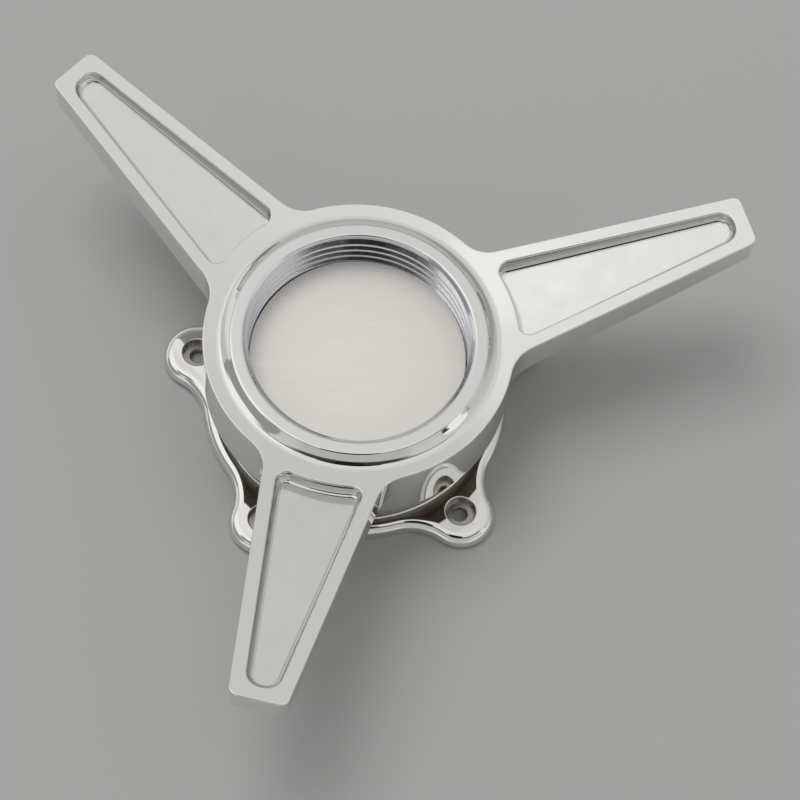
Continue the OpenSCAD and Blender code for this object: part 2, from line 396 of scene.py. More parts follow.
class SpinnerForm:
    """The spinner's surfaces, worked out from its sizes"""

    def __init__(self, hub, arm):
        self.hub = hub
        self.arm = arm
        self.rise = math.tan(hub.dish)
        self.land_z = hub.top_z + hub.land_rise
        self.land_in_r = hub.crest_r + hub.bore_bevel
        self.land_out_r = self.land_in_r + hub.land_w
        self.valley_r = self.land_out_r + hub.flank_w
        self.seat_z = SPINNER_BOX[0].z
        # The upper and the lower end of the bore's thread, each as a radius and a height
        self.bevel_spot = (self.land_in_r - HubEdges.bevel_cut, self.land_z - HubEdges.bevel_cut)
        self.seat_spot = (self.land_in_r + HubEdges.low_bevel, self.seat_z)
        self.ring_r = hub.hub_r - HubEdges.rim_w
        # How an arm's half width changes along it, and the angle at which its sides lean in
        self.slope = (arm.tip_w - arm.root_w) / 2 / (arm.reach - hub.hub_r)
        self.lean = math.atan(-self.slope)
        self.side_normal = np.array([math.sin(self.lean), math.cos(self.lean)])
        self.pocket_in_r = hub.hub_r + arm.root_border
        self.pocket_out = arm.reach - arm.tip_border
        self.fillet_centre = self.on_circle(hub.hub_r + arm.root_fillet_r, -arm.root_fillet_r)
        self.root_angle = math.atan2(self.fillet_centre[1], self.fillet_centre[0])

    def face_z(self, r):
        return self.hub.top_z + self.rise * (r - self.hub.hub_r)

    def under_z(self, r):
        share = (r - self.hub.hub_r) / (self.arm.reach - self.hub.hub_r)
        return self.face_z(r) - self.arm.root_t + (self.arm.root_t - self.arm.tip_t) * share

    def floor_z(self, r):
        share = (r - self.pocket_in_r) / (self.pocket_out - self.pocket_in_r)
        return self.face_z(r) - self.arm.root_depth + (self.arm.root_depth - self.arm.tip_depth) * share

    def half_width(self, u, inset=0):
        return self.arm.tip_w / 2 + self.slope * (u - self.arm.reach) - inset / math.cos(self.lean)

    def on_circle(self, r, inset):
        """Where a line inside the arm's side by an inset crosses a circle about the axis"""
        c = self.half_width(0, inset)
        a = 1 + self.slope ** 2
        b = self.slope * c
        u = (-b + math.sqrt(b * b - a * (c * c - r * r))) / a
        return np.array([u, self.half_width(u, inset)])

    def in_pocket(self, spot):
        """Whether a spot lies in one of the arms' pockets, below the edge of its rim"""
        pitch = TURN / self.arm.count
        turn = math.atan2(spot.y, spot.x)
        turn -= pitch * round(turn / pitch)
        r = spot.xy.length
        u, v = r * math.cos(turn), r * math.sin(turn)
        along = self.pocket_in_r - POCKET_PAST < r and u < self.pocket_out + POCKET_PAST
        across = abs(v) < self.half_width(u, self.arm.border - POCKET_PAST)
        return along and across and self.under_z(r) < spot.z < self.face_z(r) - POCKET_BROW

    def sector_turns(self):
        """Angles of the hub's columns across the root of one arm, and across the free rim after it"""
        free_to = TURN / self.arm.count - self.root_angle
        return (np.linspace(-self.root_angle, self.root_angle, Columns.root + 1),
                np.linspace(self.root_angle, free_to, Columns.free + 1))

    def long_side(self, start, start_r, bend, end_u, end_r, inset, steps):
        """Plan of a side along an arm: an arc about start, a straight and a round corner. The arc bends like
        the corner when bend is 1, and the other way when it is -1."""
        normal = self.side_normal
        toward = math.pi / 2 - self.lean
        turn = math.atan2(start[1], start[0])
        end = np.array([end_u, self.half_width(end_u, inset + end_r)])
        return chain(
            arc(start, start_r, turn + math.pi, toward if bend > 0 else toward + math.pi, steps[0], bend),
            line(start + bend * start_r * normal, end + end_r * normal, steps[1], normal),
            arc(end, end_r, toward, 0, steps[2]))

    def arm_outline(self):
        """Plan of an arm, from the hub along one side, across its end and back to the hub"""
        arm = self.arm
        side = self.long_side(self.fillet_centre, arm.root_fillet_r, -1, arm.reach - arm.tip_corner_r,
                              arm.tip_corner_r, 0, Columns.arm_side)
        end = line(side[0][-1], side[0][-1] * [1, -1], Columns.root, [1, 0])
        return chain(side, end, mirrored(side))

    def pocket_outline(self):
        """Plan of a pocket as a closed loop: its inner edge, one side, its outer end and the other side"""
        arm = self.arm
        root_r = arm.root_corner_r
        inner = self.on_circle(self.pocket_in_r + root_r, arm.border + root_r)
        inner_turn = math.atan2(inner[1], inner[0])
        side = self.long_side(inner, root_r, 1, self.pocket_out - arm.end_corner_r, arm.end_corner_r,
                              arm.border, Columns.pocket_side)
        root = arc([0, 0], self.pocket_in_r, -inner_turn, inner_turn, Columns.pocket_end, -1)
        end = line(side[0][-1], side[0][-1] * [1, -1], Columns.pocket_end, [1, 0])
        loop = chain(root, side, end, mirrored(side))
        return loop[0][:-1], loop[1][:-1]


# Share of an arm's length from which on the rungs across its faces straighten
STRAIGHTEN_FROM = 0.6


def ladder(name, columns, left, height):
    """A face between the two mirrored sides of an arm, with rungs that follow the hub's curve near the hub
    and are straight at the arm's end"""
    rungs = []
    first, last = left[0, 0], left[:, 0].max()
    for u, v in left:
        half = math.atan2(v, u)
        curved = np.hypot(u, v) * rays(np.linspace(-half, half, columns + 1))
        straight = np.stack([np.full(columns + 1, u), np.linspace(-v, v, columns + 1)], axis=1)
        share = ((u - first) / (last - first) - STRAIGHTEN_FROM) / (1 - STRAIGHTEN_FROM)
        share = np.clip(share, 0, 1)
        share = share * share * (3 - 2 * share)
        rungs.append(lifted(curved * (1 - share) + straight * share, height))
    return patch(name, rungs)


# Next to the hub an arm's lower edge fades out: its rounding and its support are at most these shares of the
# distance from the hub's wall
FADING_EDGE = 0.35
FADING_SUPPORT = 0.2


def arm_side_patches(form):
    """Side wall and underside of the arm along +X"""
    edge = form.hub.edge
    plan, outward = form.arm_outline()
    clear = np.maximum(np.hypot(plan[:, 0], plan[:, 1]) - form.hub.hub_r, 0)
    low_edge = np.minimum(edge, FADING_EDGE * clear)
    low_support = np.minimum(SUPPORT, FADING_SUPPORT * clear)

    def inset(amount, height):
        return lifted(plan - outward * np.reshape(amount, (-1, 1)), height)

    top = lifted(plan, form.face_z)
    bottom = lifted(plan, form.under_z)
    wall = [inset(edge + SUPPORT, form.face_z)]
    wall += rounded(inset(edge, form.face_z), top, lowered(top, edge))
    wall += [lowered(top, edge + SUPPORT), lowered(bottom, -low_edge - low_support)]
    wall += rounded(lowered(bottom, -low_edge), bottom, inset(low_edge, form.under_z))
    wall.append(inset(low_edge + low_support, form.under_z))
    left = wall[-1][:sum(Columns.arm_side) + 1, :2]
    return [patch("arm_wall", wall), ladder("arm_underside", Columns.root, left, form.under_z)]


def arm_top_patches(form):
    """Upper face and pocket of the arm along +X"""
    arm = form.arm
    plan, outward = form.arm_outline()
    rim = lifted(plan - outward * (form.hub.edge + SUPPORT), form.face_z)
    ring = circle_rows(form.sector_turns()[0], [(form.ring_r, form.face_z(form.ring_r))])[0]
    # The loop round the upper face starts where the pocket's loop does
    skip = (Columns.root - Columns.pocket_end) // 2
    outer = np.concatenate([ring[skip:], rim, ring[:skip]])
    pocket, away = form.pocket_outline()

    def grown(amount, height):
        return lifted(pocket + away * amount, height)

    lip = grown(arm.pocket_edge + SUPPORT, form.face_z)
    brow = grown(0, form.face_z)
    foot = grown(0, form.floor_z)
    fillet = arm.floor_fillet
    rows = [lifted((outer * (1 - share) + lip * share)[:, :2], form.face_z)
            for share in np.linspace(0, 1, Columns.band_rows + 1)]
    rows += rounded(grown(arm.pocket_edge, form.face_z), brow, lowered(brow, arm.pocket_edge))
    rows += [lowered(brow, arm.pocket_edge + SUPPORT), lowered(foot, -fillet - SUPPORT)]
    rows += rounded(lowered(foot, -fillet), foot, grown(-fillet, form.floor_z))
    rows.append(grown(-fillet - SUPPORT, form.floor_z))
    first = Columns.pocket_end
    left = rows[-1][first:first + sum(Columns.pocket_side) + 1, :2]
    return [ringed_skin("arm_top", rows), ladder("pocket_floor", Columns.pocket_end, left, form.floor_z)]


def hub_patches(form):
    """The turned faces that belong to one arm and to the free stretch of rim after it"""
    hub = form.hub
    root, free = form.sector_turns()
    ring = rounded_profile([
        form.bevel_spot,
        (form.land_in_r, form.land_z, HubEdges.land_in),
        (form.land_out_r, form.land_z, HubEdges.land_out),
        (form.land_out_r + HubEdges.bend_at * hub.flank_w, form.land_z - HubEdges.bend_drop * hub.flank_w,
         HubEdges.bend),
        (form.valley_r, form.face_z(form.valley_r), HubEdges.valley_back, HubEdges.valley_ahead),
        (form.ring_r, form.face_z(form.ring_r))], HubEdges.ring_steps)
    under = form.under_z(hub.hub_r)
    skirt = rounded_profile([(hub.hub_r, under), (hub.hub_r, form.seat_z, HubEdges.skirt), form.seat_spot])
    # The rim's edge is laid out as the arms' edges are, so that both meet point by point
    radii = [form.ring_r, hub.hub_r - hub.edge - SUPPORT, hub.hub_r - hub.edge]
    on_face = [np.array([r, form.face_z(r)]) for r in radii]
    corner = np.array([hub.hub_r, hub.top_z])
    below = corner - [0, hub.edge]
    rim = on_face[:2] + rounded(on_face[2], corner, below) + [below - [0, SUPPORT], (hub.hub_r, under)]
    return [patch("hub_ring", circle_rows(np.concatenate([root, free[1:]]), ring)),
            patch("hub_rim", circle_rows(free, rim + skirt[1:])),
            patch("hub_skirt", circle_rows(root, skirt))]


class Thread:
    """The thread's section, and where it is set on"""
    # Share of a pitch that a crest takes up
    crest = 1 / 4
    flank_angle = math.radians(30)
    # How far each corner is rounded along the axis, and cut back as a share of the depth
    corner_reach = 0.09 * MM
    corner_cut = 0.035
    # Share of a turn by which it is set on, so that a groove lies under the land's edge at the back
    start = 0.5


def thread_offsets(hub):
    """Heights within one pitch at which the thread's section is drawn, and the groove's depth at each"""
    crest = hub.pitch * Thread.crest
    flank = hub.thread_depth * math.tan(Thread.flank_angle)
    knots = np.array([0, crest, crest + flank, hub.pitch - flank, hub.pitch])
    heights = np.concatenate([knots[:4], knots[1:] - Thread.corner_reach, knots[:4] + Thread.corner_reach])
    heights.sort()
    depths = np.interp(heights, knots, [0, 0, 1, 1, 0])
    depths = np.where(np.isin(heights, knots[:2]), depths + Thread.corner_cut, depths)
    depths = np.where(np.isin(heights, knots[2:4]), depths - Thread.corner_cut, depths)
    return heights, depths * hub.thread_depth


def thread_rows(hub, turns, low, high, wall_r, sign):
    """Rows that follow the thread, run out in a bevel at each end; sign is 1 in the bore and -1 on the nose.
    low and high are the (radius, height) of the circles that the thread ends in."""
    heights, depths = thread_offsets(hub)
    # The rows begin and end past the two circles, and are then held between them
    first = math.floor(low[1] / hub.pitch) - 2
    last = math.ceil(high[1] / hub.pitch) + 1
    rows = []
    for number in range(first, last + 1):
        for height, depth in zip(heights, depths):
            z = number * hub.pitch + height + hub.pitch * (turns / TURN + Thread.start)
            z = np.clip(z, low[1], high[1])
            radius = np.full(len(turns), wall_r + depth)
            for end_r, end_z in (low, high):
                bevel = end_r - sign * np.abs(z - end_z)
                radius = np.maximum(radius, bevel) if sign > 0 else np.minimum(radius, bevel)
                radius = np.where(z == end_z, end_r, radius)
            rows.append(np.column_stack([radius * np.cos(turns), radius * np.sin(turns), z]))
    return rows


def spinner_turns(form):
    """Angles of all columns of the hub, once round"""
    root, free = form.sector_turns()
    sector = np.concatenate([root, free[1:-1]])
    pitch = TURN / form.arm.count
    turns = np.concatenate([sector + number * pitch for number in range(form.arm.count)])
    return np.append(turns, turns[0] + TURN)


def model_spinner(scene):
    hub, arm = scene.cap_hub, scene.cap_arms
    form = SpinnerForm(hub, arm)
    patches = hub_patches(form) + arm_side_patches(form) + arm_top_patches(form)
    pieces = copies_about_axis(joined("spinner_sector", patches), arm.count, TURN / arm.count)
    rows = thread_rows(hub, spinner_turns(form), form.seat_spot, form.bevel_spot, hub.crest_r, 1)
    piece = joined("polished_spinner", pieces + [patch("bore", rows)])
    smooth(piece)
    return piece


# The base

class FlangeSteps:
    """Steps along each stretch of half a lobe of the flange, and round the two roundings of its edge"""
    ear = 18
    blend = 12
    waist = 4
    top_round = 10
    low_round = 6


class BaseEdges:
    """Roundings and small widths of the base that have no setting of their own"""
    # From the nose's radius in to its end face, and the width of the ring drawn round that face
    end_bevel = 0.35 * MM
    end_ring = 1 * MM
    # Fillet at the barrel's foot, and the width of flange drawn flat beyond it
    barrel_fillet = 0.5 * MM
    barrel_flat = 1 * MM
    # The hollow: the flat round its mouth, its broken edge, its two bends, its ceiling's corner and flat
    mouth_flat = 1.5 * MM
    mouth = 0.4 * MM
    hollow_bend = 0.6 * MM
    ceiling = 0.8 * MM
    ceiling_flat = 3 * MM
    # From the thread's crests in the bore to the plain nose that the solids have
    nose_gap = 0.05 * MM


class HoleEdges:
    """Edges of the screw holes and of the tool that cuts them"""
    steps = 64
    # How far the tool stands out past the flange on both sides
    past = 1 * MM
    # Small cone at the foot of the counterbore
    cone = 0.15 * MM
    edge = 0.35 * MM
    # The broken edge's steps, each as shares of its width outwards and downwards
    broken = ((0, 1), (0.12, 0.5), (0.5, 0.12), (1, 0))


def ear_turns(sizes):
    return [sizes.ear_start + ear * TURN / sizes.ears for ear in range(sizes.ears)]


def flange_loop(sizes, inset):
    """Plan of the whole lobed flange, with its edge moved in by an inset, as a closed loop"""
    blend_at = sizes.waist_r + sizes.blend_r
    # By the law of cosines, from the two circles that the blend touches
    blend_turn = math.acos((blend_at ** 2 + sizes.screw_circle_r ** 2 - (sizes.ear_r + sizes.blend_r) ** 2)
                           / (2 * blend_at * sizes.screw_circle_r))
    blend = blend_at * np.array([math.cos(blend_turn), math.sin(blend_turn)])
    ear_turn = math.atan2(blend[1], blend[0] - sizes.screw_circle_r)
    half = chain(
        arc([sizes.screw_circle_r, 0], sizes.ear_r - inset, 0, ear_turn, FlangeSteps.ear),
        arc(blend, sizes.blend_r + inset, ear_turn + math.pi, blend_turn + math.pi, FlangeSteps.blend),
        arc([0, 0], sizes.waist_r - inset, blend_turn, math.pi / sizes.ears, FlangeSteps.waist))
    lobe = chain(mirrored(half), half)[0][:-1]
    loop = []
    for turn in ear_turns(sizes):
        c, s = math.cos(turn), math.sin(turn)
        loop.append(lobe @ np.array([[c, s], [-s, c]]))
    return np.concatenate(loop)


def counterbore(sizes, turn):
    """The tool that cuts one screw hole: a drill, a counterbore and a broken edge, as one closed form"""
    drill_r, head_r = sizes.hole_d / 2, sizes.head_d / 2
    ledge = sizes.flange_t - sizes.head_depth
    profile = [(drill_r, -HoleEdges.past), (drill_r, ledge - HoleEdges.cone),
               (drill_r + HoleEdges.cone, ledge), (head_r, ledge)]
    profile += [(head_r + out * HoleEdges.edge, sizes.flange_t - down * HoleEdges.edge)
                for out, down in HoleEdges.broken]
    profile.append((head_r + 2 * HoleEdges.edge, sizes.flange_t + HoleEdges.past))
    centre = np.array([sizes.screw_circle_r * math.cos(turn), sizes.screw_circle_r * math.sin(turn), 0])
    turns = np.linspace(0, TURN, HoleEdges.steps, endpoint=False)
    loops = [row + centre for row in circle_rows(turns, profile)]
    return joined("counterbore_tool", [ringed_skin("tool_skin", loops, cap_first=True, cap_last=True)])


def cut_holes(piece, sizes):
    for tool in [counterbore(sizes, turn) for turn in ear_turns(sizes)]:
        pick(piece)
        cut = piece.modifiers.new("Counterbore", "BOOLEAN")
        cut.operation = "DIFFERENCE"
        cut.solver = "EXACT"
        cut.object = tool
        bpy.ops.object.modifier_apply(modifier=cut.name)
        bpy.data.objects.remove(tool)


def flange_skin(sizes):
    """Loops from the flange's upper face, down round its edge, to its lower face"""
    quarter = math.pi / 2
    skin = [at_height(flange_loop(sizes, sizes.top_round + SUPPORT), sizes.flange_t)]
    for number in range(FlangeSteps.top_round + 1):
        bend = quarter - quarter * number / FlangeSteps.top_round
        plan = flange_loop(sizes, sizes.top_round * (1 - math.cos(bend)))
        skin.append(at_height(plan, sizes.flange_t - sizes.top_round * (1 - math.sin(bend))))
    for number in range(FlangeSteps.low_round + 1):
        bend = quarter * number / FlangeSteps.low_round
        plan = flange_loop(sizes, sizes.low_round * (1 - math.cos(bend)))
        skin.append(at_height(plan, sizes.low_round * (1 - math.sin(bend))))
    skin.append(at_height(flange_loop(sizes, sizes.low_round + SUPPORT), 0))
    return skin


def barrel_profile(sizes, seat_z):
    """Section of the seat and of the barrel's wall, down to the flange"""
    return rounded_profile([
        (sizes.nose_r, seat_z),
        (sizes.barrel_r, seat_z, sizes.edge),
        (sizes.barrel_r, sizes.flange_t, BaseEdges.barrel_fillet),
        (sizes.barrel_r + BaseEdges.barrel_flat, sizes.flange_t)])


def hollow_profile(sizes, crest_r, seat_z, end_z):
    """Section of the stepped hollow, from its mouth in the mounting face up to its ceiling"""
    wide_r = sizes.barrel_r - sizes.barrel_wall
    narrow_r = crest_r - BaseEdges.nose_gap - sizes.nose_wall
    step_z = seat_z - sizes.nose_wall
    ceiling_z = end_z - sizes.end_t
    return rounded_profile([
        (wide_r + BaseEdges.mouth_flat, 0),
        (wide_r, 0, BaseEdges.mouth),
        (wide_r, step_z - (wide_r - narrow_r) / 2, BaseEdges.hollow_bend),
        (narrow_r, step_z, BaseEdges.hollow_bend),
        (narrow_r, ceiling_z, BaseEdges.ceiling),
        (narrow_r - BaseEdges.ceiling_flat, ceiling_z)])


def model_base(scene):
    sizes, hub = scene.cap_base, scene.cap_hub
    seat_z = SPINNER_BOX[0].z
    end_z = BASE_BOX[1].z
    end_r = sizes.nose_r - BaseEdges.end_bevel
    # The turned faces have their columns where the flange's outline has its points
    rim = flange_loop(sizes, 0)
    turns = np.unwrap(np.arctan2(rim[:, 1], rim[:, 0]))
    skin = circle_rows(turns, barrel_profile(sizes, seat_z)) + flange_skin(sizes)
    skin += circle_rows(turns, hollow_profile(sizes, hub.crest_r, seat_z, end_z))
    shell = ringed_skin("base_skin", skin, cap_last=True)
    all_round = np.append(turns, turns[0] + TURN)
    thread = patch("nose_thread", thread_rows(hub, all_round, (sizes.nose_r, seat_z), (end_r, end_z),
                                              sizes.nose_r, -1))
    end_loops = circle_rows(turns, [(end_r - BaseEdges.end_ring, end_z), (end_r, end_z)])
    end = ringed_skin("nose_end", end_loops, cap_first=True)
    piece = joined("polished_base", [shell, thread, end])
    cut_holes(piece, sizes)
    smooth(piece)
    return piece


# Materials

def add_node(tree, kind, settings=None, inputs=None):
    """A shader node with its settings; each input takes a value or another node's output"""
    node = tree.nodes.new(kind)
    for name, value in (settings or {}).items():
        setattr(node, name, value)
    for name, value in (inputs or {}).items():
        if isinstance(value, bpy.types.NodeSocket):
            tree.links.new(value, node.inputs[name])
        else:
            node.inputs[name].default_value = value
    return node


def new_material(name):
    """An empty material, its node tree and its Object coordinates"""
    material = bpy.data.materials.new(name)
    material.use_nodes = True
    tree = material.node_tree
    tree.nodes.clear()
    return material, tree, add_node(tree, "ShaderNodeTexCoord").outputs["Object"]


def noise(tree, place, spot, detail):
    """Noise with spots of about this size"""
    node = add_node(tree, "ShaderNodeTexNoise", inputs={
        "Vector": place, "Scale": 1 / spot, "Detail": detail})
    return node.outputs["Fac"]


def bumped(tree, pattern, strength, depth):
    """Normals of a surface that a pattern raises by up to this depth"""
    node = add_node(tree, "ShaderNodeBump", inputs={
        "Strength": strength, "Distance": depth, "Height": pattern})
    return node.outputs["Normal"]


def shaded(tree, inputs):
    shader = add_node(tree, "ShaderNodeBsdfPrincipled", inputs=inputs)
    add_node(tree, "ShaderNodeOutputMaterial", inputs={"Surface": shader.outputs["BSDF"]})


# Values between which nearly all of a noise pattern lies
NOISE_SPAN = (0.25, 0.75)


def metal(tree, shade, pattern, normal, dulling, roughness, metallic=1.0):
    """Bare metal: it reflects, tinted a little by its own colour, and scatters where it is satin. The pattern
    dims the colour by as much as the dulling, and sets how rough the surface is."""
    dull = [channel * (1 - dulling) for channel in shade]
    # Inputs 0, 6 and 7 are the share and the two colours, and output 2 is their mixture
    tint = add_node(tree, "ShaderNodeMix", {"data_type": "RGBA"}, {
        0: pattern, 6: (*shade, 1), 7: (*dull, 1)})
    spread = add_node(tree, "ShaderNodeMapRange", inputs={
        "Value": pattern, "From Min": NOISE_SPAN[0], "From Max": NOISE_SPAN[1],
        "To Min": roughness[0], "To Max": roughness[1]})
    shaded(tree, {"Base Color": tint.outputs[2], "Metallic": metallic, "Roughness": spread.outputs["Result"],
                  "Normal": normal})


def polished_aluminium(shade):
    """6061 aluminium buffed to a mirror: sharp reflections that waver slightly, with faint wiping marks"""
    material, tree, place = new_material("polished_aluminium")
    # Buffing leaves waves about 9 mm long
    waves = noise(tree, place, 9 * MM, detail=1.0)
    # Wiping marks, drawn 0.35 mm apart because real ones are too fine to show
    marks = noise(tree, place, 0.35 * MM, detail=3.0)
    metal(tree, shade, marks, bumped(tree, waves, strength=0.05, depth=0.2 * MM),
          dulling=0.06, roughness=(0.03, 0.06))
    return material


def satin_aluminium(shade):
    """Milled pocket floors, polished less than the rest: broad soft reflections over faint swirls"""
    material, tree, place = new_material("satin_aluminium")
    # The cutter's passes lie about 6 mm apart, nearly polished away
    clouds = noise(tree, place, 6 * MM, detail=6.0)
    metal(tree, shade, clouds, bumped(tree, clouds, strength=0.08, depth=0.05 * MM),
          dulling=0.10, roughness=(0.13, 0.22))
    return material


def brushed_aluminium(shade, grain_angle):
    """The same metal rubbed one way with a fine belt: soft reflections, drawn out over fine lines"""
    material, tree, place = new_material("brushed_aluminium")
    turned = add_node(tree, "ShaderNodeMapping", {"vector_type": "TEXTURE"}, {
        "Vector": place, "Rotation": (0, 0, grain_angle)})
    # Belt lines about 0.25 mm apart and up to 20 mm long
    along, across = 1 / (20 * MM), 1 / (0.25 * MM)
    drawn = add_node(tree, "ShaderNodeMapping", inputs={
        "Vector": turned.outputs["Vector"], "Scale": (along, across, along)})
    lines = add_node(tree, "ShaderNodeTexNoise", inputs={
        "Vector": drawn.outputs["Vector"], "Scale": 1.0, "Detail": 4.0, "Roughness": 0.7}).outputs["Fac"]
    metal(tree, shade, lines, bumped(tree, lines, strength=0.6, depth=0.02 * MM),
          dulling=0.16, roughness=(0.32, 0.42), metallic=0.4)
    return material


# Finishes that a cutting tool leaves: the setting with the colour, and the least and the greatest roughness
CUT_FINISHES = {
    # Grooves of the threads, from a sharp threading tool
    "thread_aluminium": ("thread", (0.10, 0.18)),
    # Walls of the pockets, lightly polished
    "milled_aluminium": ("milled", (0.05, 0.10)),
    # Counterbores of the screw holes
    "bored_aluminium": ("bore", (0.24, 0.32)),
    # Turned faces that were never polished: the barrel's wall and the spinner's seat. Their dark brownish
    # colour is painted shade of the gap between the spinner and the base
    "turned_aluminium_painted_shade": ("barrel", (0.28, 0.36))}


def cut_aluminium(name, finishes):
    """Aluminium as the cutting tool left it: fine turning lines, darker than the polished faces. The turned
    finish's dark brownish colour is painted shade
    """
    setting, roughness = CUT_FINISHES[name]
    material, tree, place = new_material(name)
    # Tool lines 0.15 mm apart
    lines = add_node(tree, "ShaderNodeTexWave", {"wave_type": "BANDS", "bands_direction": "Z"}, {
        "Vector": place, "Scale": 1 / (0.15 * MM * TURN), "Distortion": 0.5, "Detail": 1.0}).outputs["Fac"]
    spots = noise(tree, place, 1.5 * MM, detail=2.0)
    metal(tree, getattr(finishes, setting), spots, bumped(tree, lines, strength=0.2, depth=0.01 * MM),
          dulling=0.12, roughness=roughness)
    return material


def studio_paper(shade):
    """Matt background paper: an even pale grey with the faintest tooth"""
    material, tree, place = new_material("studio_paper")
    tooth = noise(tree, place, 0.8 * MM, detail=2.0)
    shaded(tree, {"Base Color": (*shade, 1), "Roughness": 0.85,
                  "Normal": bumped(tree, tooth, strength=0.05, depth=0.05 * MM)})
    return material


def camera_black():
    """Matt black paint of the camera's front"""
    material, tree = new_material("camera_black")[:2]
    shaded(tree, {"Base Color": (0.01, 0.01, 0.01, 1), "Roughness": 0.6})
    return material


def finish_piece(piece, materials, chooser):
    """Gives a piece its materials, each face the one that chooser names for its centre and normal"""
    piece.data.materials.clear()
    for material in materials.values():
        piece.data.materials.append(material)
    slots = {name: number for number, name in enumerate(materials)}
    for face in piece.data.polygons:
        face.material_index = slots[chooser(face.center, face.normal)]


# Slack when a face is told by its height or its radius, and when it has to be told from one just beside it
SLACK = 0.05 * MM
CLOSE = 0.01 * MM
# The corners of the thread's crests lie up to this far outside the crests, and stay polished
CREST_SLACK = 0.06 * MM
# Radii below the barrel's at which a face still counts as its wall
WALL_BAND = 1 * MM
# A face whose normal's Z is above this lies flat, as the end of the nose or the floor of a pocket
FLAT = 0.9
FLAT_FLOOR = 0.97
# A pocket's wall next to the hub faces outwards by at least this cosine
OUTWARD = 0.2


def spinner_chooser(scene):
    """Names the finish of each face of the spinner"""
    hub = scene.cap_hub
    form = SpinnerForm(hub, scene.cap_arms)
    groove_from = hub.crest_r + CREST_SLACK
    groove_to = hub.crest_r + hub.thread_depth + SLACK

    def chooser(centre, normal):
        # The seat's underside takes the dark turned colour, which is painted shade of the gap under the
        # spinner
        if centre.z < form.seat_z + SLACK and normal.z < -FLAT:
            return "turned"
        if form.in_pocket(centre):
            if normal.z > FLAT_FLOOR:
                return "satin"
            return "polished" if normal.xy.dot(centre.xy.normalized()) > OUTWARD else "milled"
        groove = groove_from < centre.xy.length < groove_to and centre.z < form.bevel_spot[1]
        return "thread" if groove else "polished"

    return chooser


def in_hole(sizes, spot):
    """Whether a spot lies within one of the screw holes"""
    for turn in ear_turns(sizes):
        centre = Vector((math.cos(turn), math.sin(turn))) * sizes.screw_circle_r
        if (spot.xy - centre).length < sizes.head_d / 2 + SLACK and spot.z > SLACK:
            return True
    return False


def base_chooser(sizes):
    """Names the finish of each face of the base"""
    end_z = BASE_BOX[1].z - CLOSE
    seat_z = SPINNER_BOX[0].z + CLOSE
    broken_z = sizes.flange_t - HoleEdges.edge + CLOSE
    wall_from, wall_to = sizes.barrel_r - WALL_BAND, sizes.barrel_r + SLACK

    def chooser(centre, normal):
        if centre.z > end_z and normal.z > FLAT:
            return "brushed"
        if centre.z > seat_z:
            return "thread"
        # The barrel's wall takes the dark turned colour, which is painted shade of the gap under the spinner
        if wall_from < centre.xy.length < wall_to and centre.z > sizes.flange_t:
            return "turned"
        return "bored" if centre.z < broken_z and in_hole(sizes, centre) else "polished"

    return chooser


# Operators, panel and registration

class CENTRECAP_OT_spinner(bpy.types.Operator):
    """Model the three-armed spinner with its threaded bore"""
    bl_idname = "centrecap.spinner"
    bl_label = "Spinner"

    def execute(self, context):
        scene = context.scene
        finishes = scene.cap_finishes
        piece = model_spinner(scene)
        finish_piece(piece, {"polished": polished_aluminium(finishes.polished),
                             "thread": cut_aluminium("thread_aluminium", finishes),
                             "turned": cut_aluminium("turned_aluminium_painted_shade", finishes),
                             "milled": cut_aluminium("milled_aluminium", finishes),
                             "satin": satin_aluminium(finishes.polished)}, spinner_chooser(scene))
        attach(piece, "spinner")
        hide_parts("spinner")
        return {"FINISHED"}


class CENTRECAP_OT_base(bpy.types.Operator):
    """Model the base with its lobed flange, counterbored ears, barrel and threaded nose"""
    bl_idname = "centrecap.base"
    bl_label = "Base"

    def execute(self, context):
        finishes = context.scene.cap_finishes
        piece = model_base(context.scene)
        finish_piece(piece, {"polished": polished_aluminium(finishes.polished),
                             "brushed": brushed_aluminium(finishes.brushed, finishes.grain_angle),
                             "thread": cut_aluminium("thread_aluminium", finishes),
                             "bored": cut_aluminium("bored_aluminium", finishes),
                             "turned": cut_aluminium("turned_aluminium_painted_shade", finishes)},
                     base_chooser(context.scene.cap_base))
        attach(piece, "base")
        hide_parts("mounting_base")
        return {"FINISHED"}


# The camera stands where the photograph was taken from
CAMERA_AT = Vector((-0.11013, -0.29264, 0.64314))
CAMERA_AIM = Vector((0.005615, -0.021361, 0.039))
CAMERA_ROLL = math.radians(6.737)
CAMERA_LENS = 107.73
CAMERA_FRONT_R = 0.15
FLOOR_W = 12
SOFTBOX_AT = Vector((-0.30, 0.645, 1.76))
SOFTBOX_W = 1.0
SOFTBOX_WATTS = 13


def add_camera(scene):
    deselect()
    bpy.ops.object.camera_add(location=CAMERA_AT)
    camera = bpy.context.object
    camera.name = "camera"
    camera.data.lens = CAMERA_LENS
    camera.data.sensor_width = 36
    camera.data.clip_start = 0.01
    aim = (CAMERA_AIM - CAMERA_AT).to_track_quat("-Z", "Y").to_matrix()
    camera.rotation_euler = (aim @ Matrix.Rotation(CAMERA_ROLL, 3, "Z")).to_euler()
    scene.camera = camera


def add_softbox():
    """The lamp over the tent, which gives the floor its soft shadow"""
    deselect()
    bpy.ops.object.light_add(type="AREA", location=SOFTBOX_AT)
    lamp = bpy.context.object
    lamp.name = "overhead_softbox"
    lamp.data.shape = "RECTANGLE"
    lamp.data.size = lamp.data.size_y = SOFTBOX_W
    lamp.data.energy = SOFTBOX_WATTS
    lamp.rotation_euler = (-SOFTBOX_AT).to_track_quat("-Z", "Y").to_euler()
    # The metal reflects the tent alone
    lamp.visible_glossy = False


